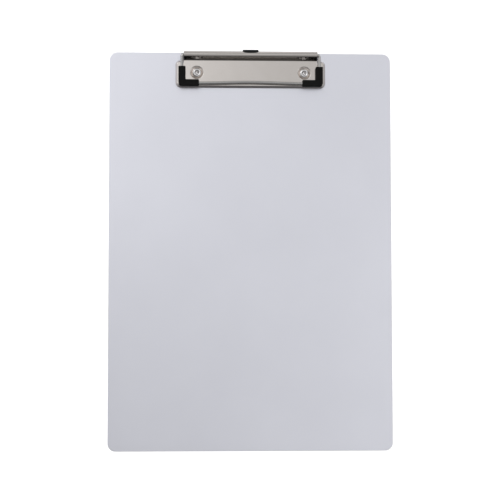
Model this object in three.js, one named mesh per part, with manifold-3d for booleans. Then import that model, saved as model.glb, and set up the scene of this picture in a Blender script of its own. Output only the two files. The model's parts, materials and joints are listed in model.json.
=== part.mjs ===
// Letter-size aluminium clipboard with a low-profile spring-wire clip, in millimetres.
//
// The origin is the centre of the board's back face. +X is to the right and +Y is towards the
// clip, seen from the writing side, and +Z points out of the writing face.
//
// The clip's base plate is a shallow steel pan riveted to the board. Its rear edge rises as the
// paper stop and curls over into a barrel. A spring wire turns in that barrel: it comes out at
// both ends, runs forward as two arms, and joins in front as the bar that presses on the paper
// through two rubber corner grips. A hanging tab slides out from under the plate.

import * as THREE from 'three';
import { mergeVertices } from 'three/addons/utils/BufferGeometryUtils.js';
import Module from 'manifold-3d';

// ---- Driving dimensions ----

const board = { width: 225.5, height: 317.5, thickness: 2, cornerRadius: 6.35 };
const topEdge = board.height / 2;

const sheet = 0.8;
const plate = {
  halfWidth: 60.1,
  front: topEdge - 28.35,
  fold: topEdge - 6.55,
  top: 4.6,
  lipBottom: 2.3,
  skirt: 1.45,
  frontCorner: 4.2,
  rearCorner: 3,
};
const barrel = { halfLength: 53.5, outer: 2.6, z: 7, riserAngle: 60, curlEnd: -120 };
const wire = { radius: 1.1, armX: 55, barY: topEdge - 25.25, cornerRadius: 3.2, endRadius: 1.8, bow: 0.8 };
const journalEnd = 46;
const anchor = { x: 14, bendRadius: 1.8, reach: 4.3 };
const grip = {
  inner: 52.05,
  outer: 57.75,
  front: topEdge - 27.85,
  rear: topEdge - 11.95,
  legWidth: 5.2,
  end: 41.35,
  top: 9.3,
  cornerRadius: 2.8,
  edgeRadius: 0.5,
  boreGap: 0.25,
};
const rivet = {
  x: 43.05,
  y: topEdge - 16.35,
  shank: 2,
  head: 3.5,
  rimHeight: 0.95,
  bore: 1.25,
  boreFloor: 0.6,
  tail: 4.1,
  tailHeight: 0.7,
};
const dimple = { mouth: 5.2, floor: 3.9 };
const hanger = {
  halfWidth: 6.2,
  bottom: 2.3,
  top: 3.5,
  footHalfWidth: 8.5,
  footFront: topEdge - 24.1,
  travel: 13,
  holeRadius: 3.25,
  holeToBarrel: 3.4,
};

// Clearances: between pieces that only rest on each other, and between pieces that move.
const restGap = 0.15;
const runGap = 0.3;

// ---- Derived places ----

const riser = THREE.MathUtils.degToRad(barrel.riserAngle);
const riserLength = (barrel.z - plate.top + barrel.outer * Math.cos(riser)) / Math.sin(riser);
const barrelY = plate.fold + riserLength * Math.cos(riser) + barrel.outer * Math.sin(riser);
const barrelInner = barrel.outer - sheet;
const dimpleTop = board.thickness + restGap + sheet;
const dimpleHole = dimple.mouth + 0.1;
const guide = { x: hanger.halfWidth + runGap, width: 0.8, front: plate.fold - 1.5, length: 1.1 };
const anchorWindow = {
  left: anchor.x - wire.radius - 0.6,
  right: anchor.x + wire.radius + 1.2,
  front: barrelY - 2.4,
  rear: barrelY + 1.6,
  bottom: barrel.z - 2.8,
  top: barrel.z - 1.05,
};
const footRear = guide.front - hanger.travel - restGap;
const lip = {
  front: barrelY + barrel.outer + runGap,
  rear: topEdge + 2.1,
  top: 8.7,
  flange: 1.1,
  slope: 0.7,
};
const bowl = { shoulder: topEdge + 0.25, nose: topEdge - 1 };

// ---- Solids: joining and cutting ----

const wasm = await Module();
wasm.setup();

function solid(geometry) {
  const bare = geometry.clone();
  bare.deleteAttribute('normal');
  bare.deleteAttribute('uv');
  const merged = mergeVertices(bare, 1e-4);
  const mesh = new wasm.Mesh({
    numProp: 3,
    vertProperties: new Float32Array(merged.attributes.position.array),
    triVerts: new Uint32Array(merged.index.array),
  });
  return new wasm.Manifold(mesh);
}

function geometryOf(body) {
  const mesh = body.getMesh();
  const geometry = new THREE.BufferGeometry();
  geometry.setAttribute('position', new THREE.BufferAttribute(mesh.vertProperties, 3));
  geometry.setIndex(new THREE.BufferAttribute(mesh.triVerts, 1));
  geometry.computeVertexNormals();
  return geometry;
}

function box(low, high) {
  const size = high.map((value, i) => value - low[i]);
  const geometry = new THREE.BoxGeometry(...size);
  geometry.translate(...low.map((value, i) => value + size[i] / 2));
  return solid(geometry);
}

function post(radius, x, y, low, high, segments = 32) {
  const geometry = new THREE.CylinderGeometry(radius, radius, high - low, segments);
  geometry.rotateX(Math.PI / 2);
  geometry.translate(x, y, (low + high) / 2);
  return solid(geometry);
}

// A body of revolution about a Z axis through (x, y); the profile's points are (radius, z).
function turned(profile, x, y, segments) {
  const geometry = new THREE.LatheGeometry(profile.map(([r, z]) => new THREE.Vector2(r, z)), segments);
  geometry.rotateX(Math.PI / 2);
  geometry.translate(x, y, 0);
  return solid(geometry);
}

// An outline in X and Y, raised from z = low to z = high. Its edges are rounded by `round`, or
// where `drop` is given, they are chamfered by `round` across and `drop` down.
function slab(outline, low, high, round = 0, drop = 0) {
  const depth = drop || round;
  const geometry = new THREE.ExtrudeGeometry(outline, {
    depth: high - low - 2 * depth,
    bevelEnabled: round > 0,
    bevelThickness: depth,
    bevelSize: round,
    bevelOffset: -round,
    bevelSegments: drop ? 1 : 4,
    curveSegments: 4,
  });
  geometry.translate(0, 0, low + depth);
  return solid(geometry);
}

// An outline in Y and Z, drawn out along X from -halfLength to halfLength.
function extrusionAlongX(outline, halfLength) {
  const geometry = new THREE.ExtrudeGeometry(outline, {
    depth: 2 * halfLength,
    bevelEnabled: false,
    curveSegments: 9,
  });
  const basis = new THREE.Matrix4().makeBasis(
    new THREE.Vector3(0, 1, 0),
    new THREE.Vector3(0, 0, 1),
    new THREE.Vector3(1, 0, 0),
  );
  geometry.applyMatrix4(basis);
  geometry.translate(-halfLength, 0, 0);
  return solid(geometry);
}

// A round wire or bore along a route of straight runs and bends.
class Route extends THREE.Curve {
  constructor(points) {
    super();
    this.points = points;
  }

  getPoint(t) {
    const place = t * (this.points.length - 1);
    const i = Math.min(Math.floor(place), this.points.length - 2);
    return this.points[i].clone().lerp(this.points[i + 1], place - i);
  }

  // The extrusion's steps fall on the route's own points, so that tight bends keep their shape.
  getPointAt(t) {
    return this.getPoint(t);
  }

  getTangentAt(t) {
    return this.getTangent(t);
  }
}

function tube(points, radius, sides = 12) {
  const section = new THREE.Shape();
  section.absarc(0, 0, radius, 0, 2 * Math.PI);
  return solid(new THREE.ExtrudeGeometry(section, {
    extrudePath: new Route(points),
    steps: points.length - 1,
    curveSegments: sides / 2,
    bevelEnabled: false,
  }));
}

function mirrored(body, side) {
  return side > 0 ? body : body.mirror([1, 0, 0]);
}

// ---- Outlines ----

function roundedRectangle(halfWidth, front, rear, frontRadius, rearRadius) {
  const shape = new THREE.Shape();
  shape.absarc(halfWidth - frontRadius, front + frontRadius, frontRadius, -Math.PI / 2, 0);
  shape.absarc(halfWidth - rearRadius, rear - rearRadius, rearRadius, 0, Math.PI / 2);
  shape.absarc(-halfWidth + rearRadius, rear - rearRadius, rearRadius, Math.PI / 2, Math.PI);
  shape.absarc(-halfWidth + frontRadius, front + frontRadius, frontRadius, Math.PI, 1.5 * Math.PI);
  return shape;
}

// The section of the fold, riser and barrel in Y and Z: the sheet's top face out, its end, then
// its under face back.
function riserAndBarrelOutline() {
  const foldRadius = 0.6;
  const foldStart = plate.fold - foldRadius * Math.tan(riser / 2);
  const flatStart = plate.fold - 3;
  const curlStart = Math.PI / 2 + riser;
  const curlEnd = THREE.MathUtils.degToRad(barrel.curlEnd);
  const shape = new THREE.Shape();
  shape.moveTo(flatStart, plate.top - sheet);
  shape.lineTo(foldStart, plate.top - sheet);
  shape.absarc(foldStart, plate.top + foldRadius, foldRadius + sheet, -Math.PI / 2, riser - Math.PI / 2);
  shape.absarc(barrelY, barrel.z, barrelInner, curlStart, curlEnd, true);
  shape.absarc(barrelY, barrel.z, barrel.outer, curlEnd, curlStart);
  shape.absarc(foldStart, plate.top + foldRadius, foldRadius, riser - Math.PI / 2, -Math.PI / 2, true);
  shape.lineTo(flatStart, plate.top);
  return shape;
}

// The D-shaped flange of the hanging tab; `gap` widens it into the barrel's notch.
function bowlOutline(gap, rear) {
  const halfWidth = hanger.halfWidth + gap;
  const shoulder = bowl.shoulder - gap;
  const shape = new THREE.Shape();
  shape.moveTo(halfWidth, rear);
  shape.lineTo(-halfWidth, rear);
  shape.absellipse(0, shoulder, halfWidth, bowl.shoulder - bowl.nose, Math.PI, 2 * Math.PI);
  return shape;
}

// ---- Paths of the spring wire ----

function arcPath(cx, cy, radius, start, end, steps) {
  const points = [];
  for (let i = 0; i <= steps; i += 1) {
    const angle = start + ((end - start) * i) / steps;
    points.push(new THREE.Vector3(cx + radius * Math.cos(angle), cy + radius * Math.sin(angle), barrel.z));
  }
  return points;
}

// The front bar is bowed a little to the rear between the two grips.
function frontBar(steps) {
  const points = [];
  for (let i = 0; i <= steps; i += 1) {
    const x = grip.end * (1 - (2 * i) / steps);
    const rise = wire.bow * Math.cos((Math.PI * x) / (2 * grip.end)) ** 2;
    points.push(new THREE.Vector3(x, wire.barY + rise, barrel.z));
  }
  return points;
}

function bowPath() {
  const start = wire.armX - wire.endRadius;
  const front = wire.armX - wire.cornerRadius;
  const rightSide = [
    new THREE.Vector3(journalEnd, barrelY, barrel.z),
    ...arcPath(start, barrelY - wire.endRadius, wire.endRadius, Math.PI / 2, 0, 6),
    ...arcPath(front, wire.barY + wire.cornerRadius, wire.cornerRadius, 0, -Math.PI / 2, 6),
  ];
  const leftSide = rightSide.map((point) => new THREE.Vector3(-point.x, point.y, point.z)).reverse();
  return [...rightSide, ...frontBar(16), ...leftSide];
}

// One fixed leg of the wire: along the barrel, then down and forward under the riser.
function legPath() {
  const down = new THREE.Vector3(0, -Math.cos(riser), -Math.sin(riser));
  const inward = new THREE.Vector3(-1, 0, 0);
  const centre = new THREE.Vector3(anchor.x + anchor.bendRadius, barrelY, barrel.z);
  centre.addScaledVector(down, anchor.bendRadius);
  const points = [new THREE.Vector3(journalEnd - runGap, barrelY, barrel.z)];
  for (let i = 0; i <= 6; i += 1) {
    const angle = (i / 6) * (Math.PI / 2);
    const point = centre.clone().addScaledVector(down, -anchor.bendRadius * Math.cos(angle));
    points.push(point.addScaledVector(inward, anchor.bendRadius * Math.sin(angle)));
  }
  const tip = new THREE.Vector3(anchor.x, barrelY, barrel.z).addScaledVector(down, anchor.reach);
  return [...points, tip];
}

// ---- Pieces ----

function makeBoard() {
  const half = board.width / 2;
  const radius = board.cornerRadius;
  const sheetArea = slab(roundedRectangle(half, -topEdge, topEdge, radius, radius), 0, board.thickness);
  const holes = [-1, 1].map((side) => {
    return post(rivet.shank + runGap, side * rivet.x, rivet.y, -1, board.thickness + 1, 24);
  });
  return holes.reduce((body, hole) => body.subtract(hole), sheetArea);
}

// The flat of the plate and its sloping skirt.
function makePan() {
  const reach = 6;
  const drop = plate.top - plate.lipBottom;
  const wall = sheet * Math.hypot(drop, plate.skirt) / drop;
  const innerDrop = drop - sheet;
  const outside = roundedRectangle(
    plate.halfWidth, plate.front, plate.fold, plate.frontCorner, plate.rearCorner,
  );
  const inside = roundedRectangle(
    plate.halfWidth - wall,
    plate.front + wall,
    plate.fold - wall,
    plate.frontCorner - wall,
    plate.rearCorner - wall,
  );
  const shell = slab(outside, -reach, plate.top, plate.skirt, drop)
    .subtract(slab(inside, -reach, plate.top - sheet, plate.skirt * innerDrop / drop, innerDrop));
  const below = box([-100, 100, -20], [100, 200, plate.lipBottom]);
  return shell.subtract(below);
}

// A conical dimple down to the board, as a ring of sheet round the rivet's hole.
function makeDimple() {
  const underside = dimpleTop - sheet;
  const slope = Math.atan2(plate.top - dimpleTop, dimple.mouth - dimple.floor);
  const shift = sheet * Math.tan(slope / 2);
  const edge = dimpleHole + 0.3;
  const hole = rivet.shank + runGap;
  return turned([
    [hole, underside],
    [dimple.floor + shift, underside],
    [dimple.mouth + shift, plate.top - sheet],
    [edge, plate.top - sheet],
    [edge, plate.top],
    [dimple.mouth, plate.top],
    [dimple.floor, dimpleTop],
    [hole, dimpleTop],
    [hole, underside],
  ], rivet.x, rivet.y, 40);
}

function makeBasePlate() {
  const relief = { width: 0.5, depth: 2 };
  const rearCut = box(
    [-barrel.halfLength - relief.width, plate.fold - relief.depth, -5],
    [barrel.halfLength + relief.width, plate.fold + 5, 20],
  );
  const notch = slab(bowlOutline(runGap, topEdge + 5), lip.top - lip.flange - runGap, 15);
  const dimpleCut = post(dimpleHole, rivet.x, rivet.y, plate.top - 2, plate.top + 2, 40);
  const window = box(
    [anchorWindow.left, anchorWindow.front, anchorWindow.bottom],
    [anchorWindow.right, anchorWindow.rear, anchorWindow.top],
  );
  const guideTab = box(
    [guide.x, guide.front, plate.lipBottom],
    [guide.x + guide.width, guide.front + guide.length, plate.top - sheet / 2],
  );
  let body = makePan().subtract(rearCut);
  body = body.add(extrusionAlongX(riserAndBarrelOutline(), barrel.halfLength)).subtract(notch);
  for (const side of [-1, 1]) {
    body = body.subtract(mirrored(dimpleCut, side)).add(mirrored(makeDimple(), side));
    body = body.subtract(mirrored(window, side)).add(mirrored(guideTab, side));
  }
  return body;
}

function makeGrip(side) {
  const legTop = grip.front + grip.legWidth;
  const corner = grip.cornerRadius;
  const shape = new THREE.Shape();
  shape.moveTo(grip.end, legTop);
  shape.lineTo(grip.end, grip.front);
  shape.absarc(grip.outer - corner, grip.front + corner, corner, -Math.PI / 2, 0);
  shape.lineTo(grip.outer, grip.rear);
  shape.lineTo(grip.inner, grip.rear);
  shape.lineTo(grip.inner, legTop);
  const block = slab(shape, plate.top + restGap, grip.top, grip.edgeRadius);
  return mirrored(block.subtract(tube(bowPath(), wire.radius + grip.boreGap)), side);
}

// A tubular rivet: a domed tail behind the board, and a rim rolled over round its open bore.
function makeRivet(side) {
  const underHead = dimpleTop + restGap;
  const rimMiddle = (rivet.head + rivet.bore) / 2;
  const rimHalf = (rivet.head - rivet.bore) / 2;
  const rim = [];
  for (let i = 0; i <= 8; i += 1) {
    const angle = (i / 8) * Math.PI;
    rim.push([rimMiddle + rimHalf * Math.cos(angle), underHead + 0.25 + rivet.rimHeight * Math.sin(angle)]);
  }
  return turned([
    [0, -restGap - rivet.tailHeight],
    [rivet.tail - 1.3, -restGap - rivet.tailHeight],
    [rivet.tail - 0.3, -restGap - 0.6 * rivet.tailHeight],
    [rivet.tail, -restGap],
    [rivet.shank, -restGap],
    [rivet.shank, underHead],
    [rivet.head - 0.1, underHead],
    ...rim,
    [rivet.bore, rivet.boreFloor + 0.3],
    [0, rivet.boreFloor],
  ], side * rivet.x, rivet.y, 32);
}

// A strap with a foot that stops on the guide tabs, a hole to hang by, and a pull lip behind the
// barrel whose flange lies in the barrel's notch.
function makeHanger() {
  const strap = box(
    [-hanger.halfWidth, hanger.footFront, hanger.bottom],
    [hanger.halfWidth, lip.front + 0.2, hanger.top],
  );
  const foot = box(
    [-hanger.footHalfWidth, hanger.footFront, hanger.bottom],
    [hanger.footHalfWidth, footRear, hanger.top],
  );
  const hole = post(hanger.holeRadius, 0, barrelY - hanger.holeToBarrel, 0, plate.top, 32);
  const wallSection = new THREE.Shape();
  wallSection.moveTo(lip.front, hanger.bottom);
  wallSection.lineTo(lip.rear, hanger.bottom);
  wallSection.lineTo(lip.rear, hanger.top);
  wallSection.lineTo(lip.rear - lip.slope, lip.top);
  wallSection.lineTo(lip.front, lip.top);
  const wall = extrusionAlongX(wallSection, hanger.halfWidth);
  const flange = slab(bowlOutline(0, lip.front + 0.2), lip.top - lip.flange, lip.top);
  return strap.add(foot).subtract(hole).add(wall).add(flange);
}

// ---- Materials ----

function material(color, roughness, metalness) {
  return new THREE.MeshStandardMaterial({ color, roughness, metalness });
}

const aluminium = material(0xd0d2da, 0.45, 1);
const nickel = material(0xc1bbb7, 0.15, 1);
const rubber = material(0x161614, 0.75, 0);
const blackPlastic = material(0x141413, 0.4, 0);

// ---- Assembly ----

const clipboard = new THREE.Group();

function place(name, body, finish) {
  const mesh = new THREE.Mesh(geometryOf(body), finish);
  mesh.name = name;
  clipboard.add(mesh);
}

place('board', makeBoard(), aluminium);
place('base_plate', makeBasePlate(), nickel);
place('wire_bow', tube(bowPath(), wire.radius), nickel);
place('hanger', makeHanger(), blackPlastic);
for (const [name, side] of [['left', -1], ['right', 1]]) {
  place(`torsion_leg_${name}`, mirrored(tube(legPath(), wire.radius), side), nickel);
  place(`corner_grip_${name}`, makeGrip(side), rubber);
  place(`rivet_${name}`, makeRivet(side), nickel);
}

export default clipboard;
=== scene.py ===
"""The looks of a letter-size aluminium clipboard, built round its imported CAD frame.

Metres, +X to the right, +Y towards the clip, +Z out of the writing face. The origin is the centre
of the board's back face. Every visible piece is a fine mesh that stands for one CAD node.
"""

import json
from math import cos, pi, radians, sin, tan

import bmesh
import bpy
from mathutils import Matrix, Vector


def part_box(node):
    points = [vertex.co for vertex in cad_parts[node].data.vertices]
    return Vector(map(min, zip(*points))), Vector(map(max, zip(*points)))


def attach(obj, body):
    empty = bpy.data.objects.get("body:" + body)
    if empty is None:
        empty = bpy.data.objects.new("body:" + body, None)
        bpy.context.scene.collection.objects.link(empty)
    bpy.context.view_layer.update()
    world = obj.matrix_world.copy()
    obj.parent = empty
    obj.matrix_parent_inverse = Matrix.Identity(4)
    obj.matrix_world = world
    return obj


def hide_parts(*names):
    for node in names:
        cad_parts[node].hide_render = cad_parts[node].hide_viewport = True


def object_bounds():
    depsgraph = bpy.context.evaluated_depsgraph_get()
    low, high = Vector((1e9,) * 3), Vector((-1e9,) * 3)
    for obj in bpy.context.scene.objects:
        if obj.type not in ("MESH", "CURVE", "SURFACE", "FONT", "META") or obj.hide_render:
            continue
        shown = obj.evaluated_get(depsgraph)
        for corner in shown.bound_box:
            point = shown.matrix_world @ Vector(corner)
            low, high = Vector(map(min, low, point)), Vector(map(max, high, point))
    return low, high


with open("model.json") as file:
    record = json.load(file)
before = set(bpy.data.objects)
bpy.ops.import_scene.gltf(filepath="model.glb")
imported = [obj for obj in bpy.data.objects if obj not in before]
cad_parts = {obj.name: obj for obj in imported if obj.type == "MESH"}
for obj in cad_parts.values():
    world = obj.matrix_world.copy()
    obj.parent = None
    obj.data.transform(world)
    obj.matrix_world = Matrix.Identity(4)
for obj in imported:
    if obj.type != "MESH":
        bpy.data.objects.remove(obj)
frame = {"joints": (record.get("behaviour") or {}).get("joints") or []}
cad_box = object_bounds()
MM = 0.001

# ---- Places, from the frame ----

joints = {joint["name"]: joint for joint in frame["joints"]}
board_low, board_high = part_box("board")
plate_low, plate_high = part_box("base_plate")
wire_low, wire_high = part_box("wire_bow")
grip_low, grip_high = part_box("corner_grip_right")
rivet_low, rivet_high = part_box("rivet_right")
hanger_low, hanger_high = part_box("hanger")
HINGE = Vector(joints["bow_hinge"]["pos_m"])
TRAVEL = joints["hanger_slide"]["range_m"][1]
BOARD_TOP = board_high.z
BARREL_RADIUS = plate_high.z - HINGE.z
BARREL_HALF = 53.5 * MM
WIRE = (wire_high.z - wire_low.z) / 2
ARM_X = wire_high.x - WIRE
BAR_Y = wire_low.y + WIRE
RIVET = (rivet_low + rivet_high) / 2

# ---- Sizes of the pressed and bent shapes ----

SHEET = 0.8 * MM
PLATE_TOP = 4.6 * MM
SKIRT_RUN = 1.45 * MM
SKIRT_LOW = 2.3 * MM
FRONT_CORNER = 4.2 * MM
REAR_CORNER = 3 * MM
RISER = radians(60)
FOLD_RADIUS = 0.6 * MM
CURL_END = radians(-120)
NOTCH_X = BARREL_HALF + 0.5 * MM
NOTCH_DEPTH = 2.2 * MM
REST_GAP = 0.15 * MM
RUN_GAP = 0.3 * MM
DIMPLE_MOUTH = 5.2 * MM
DIMPLE_FLOOR = 3.9 * MM
RIVET_HOLE = 2.3 * MM
RIVET_BORE = 1.25 * MM
RIVET_HEAD = 3.5 * MM
RIVET_SHANK = 2 * MM
JOURNAL_END = 46 * MM
BOW_CORNER = 3.2 * MM
END_BEND = 1.8 * MM
BOW_RISE = 0.8 * MM
ANCHOR_X = 14 * MM
ANCHOR_REACH = 4.3 * MM
GRIP_LEG = 5.2 * MM
GRIP_INNER = 52.05 * MM
HANGER_HALF = 6.2 * MM
STRAP_TOP = 3.5 * MM
LIP_FLANGE = 1.1 * MM
BOARD_CORNER = 6.35 * MM
BOARD_EDGE = 0.25 * MM
RIM_FILLET = 0.35 * MM
GRIP_EDGE = 0.55 * MM
GRIP_FILLET = 0.65 * MM
GRIP_CORNER = 2.8 * MM
HANGING_HOLE = 3.25 * MM

riser_length = (HINGE.z - PLATE_TOP + BARREL_RADIUS * cos(RISER)) / sin(RISER)
FOLD = HINGE.y - riser_length * cos(RISER) - BARREL_RADIUS * sin(RISER)
LIP_FRONT = HINGE.y + BARREL_RADIUS + RUN_GAP


# ---- Mesh helpers ----

def arc(centre, radius, start, end, steps):
    """Points of an arc round a centre, with its angles in radians."""
    points = []
    for i in range(steps + 1):
        angle = start + (end - start) * i / steps
        points.append((centre[0] + radius * cos(angle), centre[1] + radius * sin(angle)))
    return points


def fillet(points, radius, steps=5):
    """A polyline in two dimensions with each of its inner corners rounded."""
    rounded = [points[0]]
    for before, corner, after in zip(points, points[1:], points[2:]):
        p = Vector(corner)
        u = (Vector(before) - p).normalized()
        v = (Vector(after) - p).normalized()
        angle = u.angle(v)
        if angle > radians(175):
            rounded.append(corner)
            continue
        reach = min(radius / tan(angle / 2), 0.45 * (Vector(before) - p).length,
                    0.45 * (Vector(after) - p).length)
        centre = p + (u + v).normalized() * reach / cos(angle / 2)
        first = p + u * reach - centre
        turn = first.angle_signed(p + v * reach - centre)
        for i in range(steps + 1):
            spoke = first.copy()
            spoke.rotate(Matrix.Rotation(-turn * i / steps, 2))
            rounded.append(tuple(centre + spoke))
    rounded.append(points[-1])
    return rounded


def link(name, mesh, material=None):
    """A new object in the scene with this mesh."""
    piece = bpy.data.objects.new(name, mesh)
    bpy.context.scene.collection.objects.link(piece)
    if material:
        mesh.materials.append(material)
    return piece


def from_bmesh(name, built, material=None):
    """A new object from a bmesh, with its close vertices merged and its faces turned outward."""
    bmesh.ops.remove_doubles(built, verts=built.verts, dist=0.002 * MM)
    bmesh.ops.recalc_face_normals(built, faces=built.faces)
    mesh = bpy.data.meshes.new(name)
    built.to_mesh(mesh)
    built.free()
    return link(name, mesh, material)


def strips(built, rings, closed):
    """Quads between one ring of points and the next; a closed ring's last point joins its first."""
    rows = [[built.verts.new(point) for point in ring] for ring in rings]
    for low, high in zip(rows, rows[1:]):
        count = len(low) if closed else len(low) - 1
        for i in range(count):
            j = (i + 1) % len(low)
            built.faces.new((low[i], low[j], high[j], high[i]))
    return rows


def fill(built, loops):
    """Triangles between closed loops of points: the first is the outline, the others its holes."""
    edges = []
    for points in loops:
        row = [built.verts.new(point) for point in points]
        for i, vertex in enumerate(row):
            edges.append(built.edges.new((vertex, row[(i + 1) % len(row)])))
    bmesh.ops.triangle_fill(built, edges=edges, use_beauty=True)


def inset(outline, distance):
    """An outline moved to its left by a distance, with its corners mitred."""
    moved = []
    for i, point in enumerate(outline):
        p = Vector(point)
        along = (p - Vector(outline[i - 1])).normalized()
        onward = (Vector(outline[(i + 1) % len(outline)]) - p).normalized()
        side = Vector((-along.y, along.x)) + Vector((-onward.y, onward.x))
        moved.append(tuple(p + side * distance / (1 + along.dot(onward))))
    return moved


def slab(name, outlines, low, high, edge=0.0, steps=4, material=None):
    """A plate from z = low to z = high with rounded edges.

    The first outline runs anticlockwise, and the outlines of its holes run clockwise."""
    levels = [(0.0, low), (0.0, high)]
    if edge > 0:
        quarter = [i * pi / 2 / steps for i in range(steps + 1)]
        lower = [(edge * (1 - sin(a)), low + edge * (1 - cos(a))) for a in quarter]
        upper = [(depth, low + high - z) for depth, z in reversed(lower)]
        levels = lower + upper
    built = bmesh.new()
    for outline in outlines:
        rings = [[(x, y, z) for x, y in inset(outline, depth)] for depth, z in levels]
        strips(built, rings, closed=True)
    for depth, z in (levels[0], levels[-1]):
        fill(built, [[(x, y, z) for x, y in inset(outline, depth)] for outline in outlines])
    return from_bmesh(name, built, material)


def box(name, low, high):
    """A box between two corners."""
    outline = [(low[0], low[1]), (high[0], low[1]), (high[0], high[1]), (low[0], high[1])]
    return slab(name, [outline], low[2], high[2])


def tube(name, path, radius, across, material=None, sides=32, chamfer=0.0):
    """A round wire along a path in the plane whose normal is `across`, with chamfered ends."""
    points = [Vector(point) for point in path]
    rings = []
    for i, point in enumerate(points):
        along = points[min(i + 1, len(points) - 1)] - points[max(i - 1, 0)]
        along.normalize()
        side = across.cross(along)
        section = [side * cos(2 * pi * k / sides) + across * sin(2 * pi * k / sides)
                   for k in range(sides)]
        ends = {0: along, len(points) - 1: -along}
        if chamfer and i in ends:
            small = [point + spoke * (radius - chamfer) for spoke in section]
            full = [point + ends[i] * chamfer + spoke * radius for spoke in section]
            rings += [small, full] if i == 0 else [full, small]
        else:
            rings.append([point + spoke * radius for spoke in section])
    built = bmesh.new()
    rows = strips(built, rings, closed=True)
    built.faces.new(rows[0])
    built.faces.new(rows[-1])
    return from_bmesh(name, built, material)


def revolve(built, profile, centre, steps):
    """The surface of a profile of (radius, z) points turned about a Z axis through a centre."""
    rings = []
    for radius, z in profile:
        circle = arc(centre, max(radius, 0.001 * MM), 0, 2 * pi, steps)[:-1]
        rings.append([(x, y, z) for x, y in circle])
    strips(built, rings, closed=True)


def modify(piece, kind, **settings):
    """Adds a modifier and sets it up."""
    modifier = piece.modifiers.new(kind.lower(), kind)
    for key, value in settings.items():
        setattr(modifier, key, value)


def settle(piece):
    """Applies the piece's modifiers to its mesh."""
    shown = piece.evaluated_get(bpy.context.evaluated_depsgraph_get())
    mesh = bpy.data.meshes.new_from_object(shown)
    piece.modifiers.clear()
    piece.data = mesh


def combine(piece, tool, operation="DIFFERENCE"):
    """Cuts the tool out of the piece, or joins it on, and removes the tool."""
    modify(piece, "BOOLEAN", object=tool, operation=operation, solver="EXACT")
    settle(piece)
    bpy.data.objects.remove(tool)


def shade(piece, angle=35, bevel=0.0):
    """Breaks the sharp edges, if asked to, and shades the rest smooth without bending flat faces."""
    if bevel > 0:
        modify(piece, "BEVEL", width=bevel, segments=2, limit_method="ANGLE",
               angle_limit=radians(50), use_clamp_overlap=True)
        settle(piece)
    piece.data.shade_smooth()
    piece.data.set_sharp_from_angle(angle=radians(angle))
    modify(piece, "WEIGHTED_NORMAL", keep_sharp=True, weight=90)
    settle(piece)


def mirror(points):
    """Points of a path or outline mirrored in X, in reverse order."""
    return [(-point[0], *point[1:]) for point in reversed(points)]


# ---- Materials ----

def node(tree, kind, inputs=None, **settings):
    """A new node; an input is set to its value, or linked where the value is a socket."""
    made = tree.nodes.new(kind)
    for key, value in settings.items():
        setattr(made, key, value)
    for key, value in (inputs or {}).items():
        if isinstance(value, bpy.types.NodeSocket):
            tree.links.new(value, made.inputs[key])
        else:
            made.inputs[key].default_value = value
    return made


def new_material(name):
    """A material with its node tree and its main shader."""
    material = bpy.data.materials.new(name)
    material.use_nodes = True
    return material, material.node_tree, material.node_tree.nodes["Principled BSDF"]


def stretched(tree, scale):
    """The object's own coordinates in metres, stretched by a scale on each axis."""
    place = node(tree, "ShaderNodeTexCoord")
    return node(tree, "ShaderNodeMapping", {"Vector": place.outputs["Object"], "Scale": scale})


def noise(tree, vector, scale, detail=3.0):
    """A grey noise from 0 to 1."""
    return node(tree, "ShaderNodeTexNoise", {
        "Vector": vector.outputs[0], "Scale": scale, "Detail": detail,
    }).outputs["Fac"]


def between(tree, factor, low, high):
    """A number that runs from low to high as the factor goes from 0.3 to 0.7."""
    return node(tree, "ShaderNodeMapRange", {
        "Value": factor, "From Min": 0.3, "From Max": 0.7, "To Min": low, "To Max": high,
    }).outputs["Result"]


def tinted(tree, factor, first, second):
    """A colour that runs from the first to the second."""
    spread = between(tree, factor, 0.0, 1.0)
    mix = node(tree, "ShaderNodeMix", {"Factor": spread}, data_type="RGBA")
    mix.inputs["A"].default_value = (*first, 1)
    mix.inputs["B"].default_value = (*second, 1)
    return mix.outputs["Result"]


def bump(tree, height, distance, below=None):
    """A bump of this height in metres, on top of another where one is given."""
    inputs = {"Height": height, "Distance": distance, "Strength": 1.0}
    if below:
        inputs["Normal"] = below
    return node(tree, "ShaderNodeBump", inputs).outputs["Normal"]


def satin_aluminium():
    """Fine brushed and anodised aluminium: grain along the board, and soft patches of tone."""
    material, tree, shader = new_material("satin_aluminium")
    plain = stretched(tree, (1, 1, 1))
    grain = noise(tree, stretched(tree, (1, 0.03, 1)), 2600, 2)
    streaks = noise(tree, stretched(tree, (1, 0.02, 1)), 900, 3)
    patches = noise(tree, plain, 14, 4)
    colour = tinted(tree, patches, (0.865, 0.865, 0.92), (0.895, 0.895, 0.95))
    tree.links.new(colour, shader.inputs["Base Color"])
    rough = node(tree, "ShaderNodeMath", {
        0: between(tree, streaks, 0.33, 0.35), 1: between(tree, grain, -0.01, 0.01),
    }).outputs[0]
    tree.links.new(rough, shader.inputs["Roughness"])
    tree.links.new(bump(tree, grain, 0.0015 * MM), shader.inputs["Normal"])
    shader.inputs["Metallic"].default_value = 1
    return material


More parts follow.
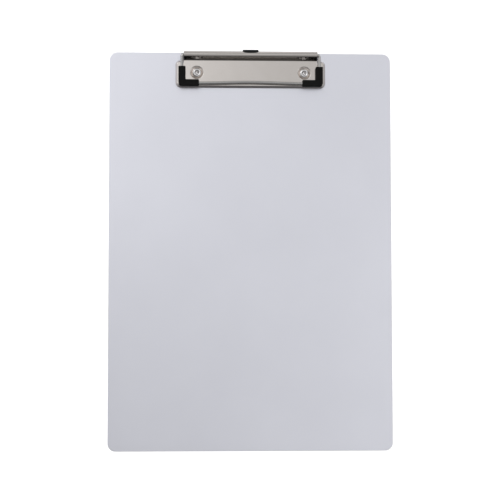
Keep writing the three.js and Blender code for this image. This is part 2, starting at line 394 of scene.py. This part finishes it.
def bright_nickel(name, first, second, waviness, grain_scale):
    """Bright nickel plate over steel: a faint press waviness, rolling grain and fine scratches."""
    material, tree, shader = new_material(name)
    plain = stretched(tree, (1, 1, 1))
    waves = noise(tree, plain, 55, 1)
    grain = noise(tree, stretched(tree, grain_scale), 2200, 2)
    smears = noise(tree, plain, 120, 4)
    tree.links.new(tinted(tree, smears, first, second), shader.inputs["Base Color"])
    rough = node(tree, "ShaderNodeMath", {
        0: between(tree, smears, 0.075, 0.12), 1: between(tree, grain, -0.015, 0.02),
    }).outputs[0]
    tree.links.new(rough, shader.inputs["Roughness"])
    relief = bump(tree, grain, 0.0004 * MM, bump(tree, waves, waviness))
    tree.links.new(relief, shader.inputs["Normal"])
    shader.inputs["Metallic"].default_value = 1
    return material


def moulded_black(name, colours, roughness, pebble, coarse):
    """Black rubber or plastic with the fine pebble of a mould and some dust."""
    material, tree, shader = new_material(name)
    plain = stretched(tree, (1, 1, 1))
    pebbles = noise(tree, plain, coarse, 2)
    dust = noise(tree, plain, 900, 5)
    tree.links.new(tinted(tree, dust, *colours), shader.inputs["Base Color"])
    tree.links.new(between(tree, pebbles, *roughness), shader.inputs["Roughness"])
    tree.links.new(bump(tree, pebbles, pebble), shader.inputs["Normal"])
    shader.inputs["Specular IOR Level"].default_value = 0.18
    return material


aluminium = satin_aluminium()
plate_nickel = bright_nickel(
    "plate_nickel", (0.67, 0.625, 0.585), (0.69, 0.645, 0.605), 0.012 * MM, (0.04, 1, 1))
wire_nickel = bright_nickel(
    "wire_nickel", (0.52, 0.507, 0.49), (0.56, 0.546, 0.525), 0.002 * MM, (0.05, 1, 1))
rivet_nickel = bright_nickel(
    "rivet_nickel", (0.78, 0.76, 0.75), (0.82, 0.80, 0.79), 0.004 * MM, (1, 1, 1))
rubber = moulded_black(
    "grip_rubber", ((0.004, 0.004, 0.0035), (0.007, 0.007, 0.006)), (0.55, 0.75), 0.01 * MM, 2400)
plastic = moulded_black(
    "hanger_plastic", ((0.006, 0.006, 0.006), (0.009, 0.009, 0.009)), (0.3, 0.42), 0.003 * MM, 3200)


# ---- Board ----

def rounded_rectangle(half_x, half_y, radius, steps):
    """An anticlockwise outline round the origin."""
    outline = []
    for quarter, (sx, sy) in enumerate([(1, -1), (1, 1), (-1, 1), (-1, -1)]):
        start = (quarter - 1) * pi / 2
        centre = (sx * (half_x - radius), sy * (half_y - radius))
        outline += arc(centre, radius, start, start + pi / 2, steps)
    return outline


def make_board():
    """The aluminium sheet, with its corners and edges rounded and a hole for each rivet."""
    outlines = [rounded_rectangle(board_high.x, board_high.y, BOARD_CORNER, 24)]
    for side in (-1, 1):
        outlines.append(arc((side * RIVET.x, RIVET.y), RIVET_HOLE, 2 * pi, 0, 48)[:-1])
    piece = slab("board_sheet", outlines, board_low.z, board_high.z, BOARD_EDGE, 3, aluminium)
    shade(piece)
    return piece


# ---- Base plate of the clip ----

def pan_rim(depth, z):
    """Points along the pan's rim, this far in from its outer face, from notch to notch."""
    half = plate_high.x
    front = plate_low.y
    corners = [
        (-half + REAR_CORNER, FOLD - REAR_CORNER, REAR_CORNER, 0.5),
        (-half + FRONT_CORNER, front + FRONT_CORNER, FRONT_CORNER, 1.0),
        (half - FRONT_CORNER, front + FRONT_CORNER, FRONT_CORNER, 1.5),
        (half - REAR_CORNER, FOLD - REAR_CORNER, REAR_CORNER, 2.0),
    ]
    ring = [(-NOTCH_X, FOLD - depth)]
    for x, y, radius, turn in corners:
        ring += arc((x, y), radius - depth, turn * pi, (turn + 0.5) * pi, 20)
    ring.append((NOTCH_X, FOLD - depth))
    return [(x, y, z) for x, y in ring]


def riser_profile():
    """The sheet's outer face in Y and Z: the fold, the paper stop and the curl of the barrel."""
    fold_start = FOLD - FOLD_RADIUS * tan(RISER / 2)
    fold = arc((fold_start, PLATE_TOP + FOLD_RADIUS), FOLD_RADIUS, -pi / 2, RISER - pi / 2, 8)
    curl = arc((HINGE.y, HINGE.z), BARREL_RADIUS, pi / 2 + RISER, CURL_END, 72)
    return fold + curl


def dimple_profile():
    """The upper face of a dimple, from its mouth down its cone to the rivet's hole."""
    floor = BOARD_TOP + REST_GAP + SHEET
    return fillet([
        (DIMPLE_MOUTH + 0.6 * MM, PLATE_TOP),
        (DIMPLE_MOUTH, PLATE_TOP),
        (DIMPLE_FLOOR, floor),
        (RIVET_HOLE, floor),
    ], 1.3 * MM, 8)


def bowl(gap, rear):
    """The outline of the hanging tab's flange, or with a gap, of the barrel's notch for it."""
    half = HANGER_HALF + gap
    shoulder = board_high.y + 0.25 * MM - gap
    depth = 1.25 * MM
    outline = [(half, rear), (-half, rear)]
    for x, y in arc((0, 0), 1, pi, 2 * pi, 32):
        outline.append((half * x, shoulder + depth * y))
    return outline


def make_base_plate():
    """The pressing: a pan with a sloped rim, two dimples, the paper stop and the barrel."""
    steps = 72
    built = bmesh.new()
    rim = fillet([
        (NOTCH_DEPTH, PLATE_TOP), (SKIRT_RUN, PLATE_TOP), (0.0, SKIRT_LOW),
    ], RIM_FILLET, 6)
    strips(built, [pan_rim(depth, z) for depth, z in rim], closed=False)
    profile = riser_profile()
    strips(built, [[(x, y, z) for x in (-BARREL_HALF, BARREL_HALF)] for y, z in profile], False)
    relief = [(BARREL_HALF, FOLD - NOTCH_DEPTH), (BARREL_HALF, profile[0][0])]
    back = [(x, y, PLATE_TOP) for x, y in relief + mirror(relief)]
    dimple = dimple_profile()
    holes = []
    for side in (-1, 1):
        centre = (side * RIVET.x, RIVET.y)
        revolve(built, dimple, centre, steps)
        mouth = arc(centre, dimple[0][0], 0, 2 * pi, steps)[:-1]
        holes.append([(x, y, PLATE_TOP) for x, y in mouth])
    fill(built, [pan_rim(rim[0][0], PLATE_TOP) + back, *holes])
    piece = from_bmesh("base_plate_pressing", built, plate_nickel)
    if sum(face.normal.z * face.area for face in piece.data.polygons) < 0:
        piece.data.flip_normals()
    modify(piece, "SOLIDIFY", thickness=SHEET, offset=-1, use_even_offset=True)
    settle(piece)
    flange_low = hanger_high.z - LIP_FLANGE - RUN_GAP
    combine(piece, slab("notch", [bowl(RUN_GAP, plate_high.y + 5 * MM)], flange_low, 15 * MM))
    for side in (-1, 1):
        window = sorted((side * (ANCHOR_X - 1.7 * MM), side * (ANCHOR_X + 2.3 * MM)))
        combine(piece, box(
            "window",
            (window[0], HINGE.y - 2.4 * MM, HINGE.z - 2.8 * MM),
            (window[1], HINGE.y + 1.6 * MM, HINGE.z - 1.05 * MM),
        ))
        guide = sorted((side * (HANGER_HALF + RUN_GAP), side * (HANGER_HALF + RUN_GAP + SHEET)))
        combine(piece, box(
            "guide",
            (guide[0], FOLD - 1.5 * MM, 2.3 * MM),
            (guide[1], FOLD - 0.4 * MM, PLATE_TOP - SHEET / 2),
        ), "UNION")
    shade(piece, bevel=0.07 * MM)
    return piece


# ---- Spring wire ----

def make_bow():
    """The moving part of the wire: journals, arms, front corners and the bowed front bar."""
    z = HINGE.z
    grip_end = grip_low.x
    end_bend = arc((ARM_X - END_BEND, HINGE.y - END_BEND), END_BEND, pi / 2, 0, 12)
    corner = arc((ARM_X - BOW_CORNER, BAR_Y + BOW_CORNER), BOW_CORNER, 0, -pi / 2, 12)
    right = [(JOURNAL_END, HINGE.y), *end_bend, *corner]
    bar = []
    for i in range(41):
        x = grip_end * (1 - i / 20)
        bar.append((x, BAR_Y + BOW_RISE * cos(pi * x / (2 * grip_end)) ** 2))
    path = [(x, y, z) for x, y in right + bar + mirror(right)]
    piece = tube("bow_wire", path, WIRE, Vector((0, 0, 1)), wire_nickel, chamfer=0.2 * MM)
    shade(piece)
    return piece, path


def make_leg(side):
    """A fixed leg of the wire: along the barrel, then down and forward under the riser."""
    down = Vector((0, -cos(RISER), -sin(RISER)))
    inward = Vector((-side, 0, 0))
    centre = Vector((side * (ANCHOR_X + END_BEND), HINGE.y, HINGE.z)) + down * END_BEND
    path = [Vector((side * (JOURNAL_END - RUN_GAP), HINGE.y, HINGE.z))]
    for x, y in arc((0, 0), END_BEND, 0, pi / 2, 12):
        path.append(centre - down * x + inward * y)
    path.append(Vector((side * ANCHOR_X, HINGE.y, HINGE.z)) + down * ANCHOR_REACH)
    name = "torsion_wire_left" if side < 0 else "torsion_wire_right"
    piece = tube(name, path, WIRE, inward.cross(down), wire_nickel, chamfer=0.2 * MM)
    shade(piece)
    return piece


# ---- Rubber corner grips ----

def make_grip(side, path):
    """A moulded L over a front corner of the wire, with a bore that the wire fills."""
    front = grip_low.y
    crease = front + GRIP_LEG
    centre = (grip_high.x - GRIP_CORNER, front + GRIP_CORNER)
    outline = [(grip_low.x, front)]
    outline += arc(centre, GRIP_CORNER, -pi / 2, 0, 24)
    outline += [(grip_high.x, grip_high.y), (GRIP_INNER, grip_high.y), (GRIP_INNER, crease),
                (grip_low.x, crease)]
    outline = fillet([outline[-1], *outline, outline[0]], GRIP_FILLET, 4)[1:-1]
    if side < 0:
        outline = mirror(outline)
    name = "corner_grip_rubber_left" if side < 0 else "corner_grip_rubber_right"
    piece = slab(name, [outline], grip_low.z, grip_high.z, GRIP_EDGE, 5, rubber)
    combine(piece, tube("bore", path, WIRE + 0.03 * MM, Vector((0, 0, 1))))
    shade(piece)
    return piece


# ---- Rivets ----

def make_rivet(side):
    """A tubular rivet with a rim rolled over round its open bore, and a low domed tail."""
    under_head = BOARD_TOP + REST_GAP + SHEET + REST_GAP
    middle = (RIVET_HEAD + RIVET_BORE) / 2
    half = (RIVET_HEAD - RIVET_BORE) / 2
    rim = []
    for radius, z in arc((0, 0), 1, 0, pi, 24):
        rim.append((middle + half * radius, under_head + 0.25 * MM + 0.95 * MM * z))
    tail_radius = (rivet_high.x - rivet_low.x) / 2
    tail = fillet([
        (0, rivet_low.z),
        (tail_radius - 1.1 * MM, rivet_low.z),
        (tail_radius, -REST_GAP - 0.25 * MM),
        (tail_radius, -REST_GAP),
        (RIVET_SHANK, -REST_GAP),
    ], 0.4 * MM)
    bore = fillet([rim[-1], (RIVET_BORE, 0.9 * MM), (0, 0.6 * MM)], 0.3 * MM)
    profile = [*tail, (RIVET_SHANK, under_head), (RIVET_HEAD - 0.1 * MM, under_head), *rim, *bore[1:]]
    built = bmesh.new()
    revolve(built, profile, (side * RIVET.x, RIVET.y), 64)
    name = "tubular_rivet_left" if side < 0 else "tubular_rivet_right"
    piece = from_bmesh(name, built, rivet_nickel)
    shade(piece)
    return piece


# ---- Hanging tab ----

def make_hanger():
    """A strap with a foot, a hole to hang by, and a pull lip with a D-shaped flange."""
    foot_rear = FOLD - 1.5 * MM - TRAVEL - REST_GAP
    foot_half = hanger_high.x
    half = HANGER_HALF
    front = hanger_low.y
    outline = [(-foot_half, front), (foot_half, front), (foot_half, foot_rear), (half, foot_rear),
               (half, LIP_FRONT + 0.3 * MM), (-half, LIP_FRONT + 0.3 * MM), (-half, foot_rear),
               (-foot_half, foot_rear)]
    hole = arc((0, HINGE.y - 3.4 * MM), HANGING_HOLE, 2 * pi, 0, 64)[:-1]
    piece = slab("hanging_tab", [outline, hole], hanger_low.z, STRAP_TOP, 0.0, 1, plastic)
    lip = [(LIP_FRONT, hanger_low.z), (hanger_high.y, hanger_low.z), (hanger_high.y, STRAP_TOP),
           (hanger_high.y - 0.7 * MM, hanger_high.z), (LIP_FRONT, hanger_high.z)]
    wall = slab("wall", [lip], -half, half)
    wall.data.transform(Matrix(((0, 0, 1, 0), (1, 0, 0, 0), (0, 1, 0, 0), (0, 0, 0, 1))))
    combine(piece, wall, "UNION")
    flange = slab("flange", [bowl(0, LIP_FRONT + 0.2 * MM)], hanger_high.z - LIP_FLANGE, hanger_high.z)
    combine(piece, flange, "UNION")
    shade(piece, bevel=0.14 * MM)
    return piece


def place(piece, node_name, body, slot):
    """A finished piece rides on its body and stands for its CAD node. The slot is not used."""
    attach(piece, body)
    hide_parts(node_name)


place(make_board(), "board", "board", "board_aluminium")
place(make_base_plate(), "base_plate", "board", "nickel_plate")
bow, bow_path = make_bow()
place(bow, "wire_bow", "bow", "spring_wire")
for word, sign in (("left", -1), ("right", 1)):
    place(make_leg(sign), f"torsion_leg_{word}", "board", "spring_wire")
    place(make_grip(sign, bow_path), f"corner_grip_{word}", "bow", "grip_rubber")
    place(make_rivet(sign), f"rivet_{word}", "board", "rivet_metal")
place(make_hanger(), "hanger", "hanger", "hanger_plastic")


# ---- Stage, light and camera ----

STAGE_RADIUS = 3.0
WALL_HEIGHT = 3
ROOM_LIGHT = 0.012
# Each patch of sky: where it lies, how far it spreads and how strong it is.
SKY_PATCHES = [
    ((-0.45, 0.73, 1), 0.12, 2.44),
    ((-0.21, 0.0, 1), 0.12, 0.07),
    ((-0.21, 0.21, 1), 0.12, 1.89),
    ((0.0, -0.21, 1), 0.12, 0.76),
    ((0.0, 0.21, 1), 0.12, 0.31),
    ((0.0, 0.73, 1), 0.12, 0.64),
    ((0.21, -0.21, 1), 0.12, 0.49),
    ((0.21, 0.0, 1), 0.12, 0.14),
    ((0.21, 0.21, 1), 0.12, 0.48),
    ((0.45, 0.0, 1), 0.12, 1.92),
    ((0.45, 0.73, 1), 0.12, 2.05),
    ((1.63, 0.94, 1), 0.14, 1.17),
    ((0.0, 0.99, 0.14), 0.17, 0.89),
    ((-0.86, 0.5, 0.14), 0.17, 1.22),
    ((-1.63, 0.94, 1), 0.14, 1.66),
    ((-1.88, 0.0, 1), 0.14, 0.66),
    ((0.0, -0.97, 1), 0.17, 0.5),
]
# Strengths of the wide patches low on the horizon, by their bearing in degrees from +Y.
HORIZON = {0: 0.4, 60: 0.5, 115: 0.65, 180: 0.05, 245: 0.65, 300: 0.5}
HORIZON_LIFT = 0.2
HORIZON_SPREAD = 0.35

def set_piece(name, built, colour, emission):
    """A piece of the stage, matt and with a light of its own."""
    material, _, shader = new_material(name)
    shader.inputs["Base Color"].default_value = (*colour, 1)
    shader.inputs["Roughness"].default_value = 0.9
    shader.inputs["Specular IOR Level"].default_value = 0.1
    shader.inputs["Emission Color"].default_value = (1, 1, 1, 1)
    shader.inputs["Emission Strength"].default_value = emission
    mesh = bpy.data.meshes.new(name)
    built.to_mesh(mesh)
    built.free()
    made = link(name, mesh, material)
    return made


def hide(card, *rays):
    """Hides a card from shadow rays and from the kinds of ray that are named."""
    card.visible_shadow = False
    for ray in rays:
        setattr(card, f"visible_{ray}", False)


def disc(level):
    """A flat round floor at this height."""
    built = bmesh.new()
    bmesh.ops.create_circle(built, cap_ends=True, segments=96, radius=STAGE_RADIUS)
    bmesh.ops.translate(built, verts=built.verts, vec=(0, 0, level))
    return built


def make_floor(level):
    """A pale floor with a pale wall round it. Reflections see a grey table in its place."""
    floor = set_piece("floor", disc(level), (0.9, 0.9, 0.9), 0.8)
    floor.visible_glossy = False
    table = set_piece("table", disc(level + 0.02 * MM), (0, 0, 0), 0.5)
    hide(table, "camera", "diffuse")
    built = bmesh.new()
    circle = arc((0, 0), STAGE_RADIUS, 0, 2 * pi, 96)[:-1]
    strips(built, [[(x, y, z) for x, y in circle] for z in (level, level + WALL_HEIGHT)], closed=True)
    wall = set_piece("backdrop", built, (0.9, 0.9, 0.9), 0.75)
    hide(wall, "glossy", "diffuse")


def make_camera():
    """Nearly straight above the board, a little below and left of its centre."""
    data = bpy.data.cameras.new("camera")
    data.lens = 100
    data.sensor_width = 36
    camera = bpy.data.objects.new("camera", data)
    camera.location = (-0.0469161, -0.0725247, 1.1047792)
    turn = Vector((0.0658291, -0.0420227, 0.0004623))
    camera.rotation_euler = Matrix.Rotation(turn.length, 3, turn).to_euler()
    bpy.context.scene.collection.objects.link(camera)
    bpy.context.scene.camera = camera


def math(tree, operation, *values):
    """One step of arithmetic on numbers and sockets."""
    return node(tree, "ShaderNodeMath", dict(enumerate(values)), operation=operation).outputs[0]


def glow(tree, direction, aim, spread):
    """A soft round patch of sky: 1 where the direction is the aim, and fading over the spread."""
    gap = node(tree, "ShaderNodeVectorMath", {0: direction}, operation="SUBTRACT")
    gap.inputs[1].default_value = Vector(aim).normalized()
    away = node(tree, "ShaderNodeVectorMath", {0: gap.outputs[0]}, operation="LENGTH").outputs["Value"]
    power = math(tree, "DIVIDE", math(tree, "MULTIPLY", away, away), -2 * spread * spread)
    return math(tree, "EXPONENT", power)


def make_world():
    """A dim room lit by soft round patches of light, most of them overhead."""
    world = bpy.data.worlds.new("soft_room")
    world.use_nodes = True
    tree = world.node_tree
    direction = node(tree, "ShaderNodeTexCoord").outputs["Generated"]
    patches = list(SKY_PATCHES)
    for bearing, strength in HORIZON.items():
        turn = radians(bearing)
        patches.append(((sin(turn), cos(turn), HORIZON_LIFT), HORIZON_SPREAD, strength))
    total = ROOM_LIGHT
    for aim, spread, strength in patches:
        patch = math(tree, "MULTIPLY", glow(tree, direction, aim, spread), strength)
        total = math(tree, "ADD", patch, total)
    background = tree.nodes["Background"]
    background.inputs["Color"].default_value = (0.97, 0.98, 1.0, 1)
    tree.links.new(total, background.inputs["Strength"])
    bpy.context.scene.world = world


make_floor(cad_box[0].z - 0.05 * MM)
make_world()
make_camera()
bpy.context.scene.view_settings.view_transform = "Standard"
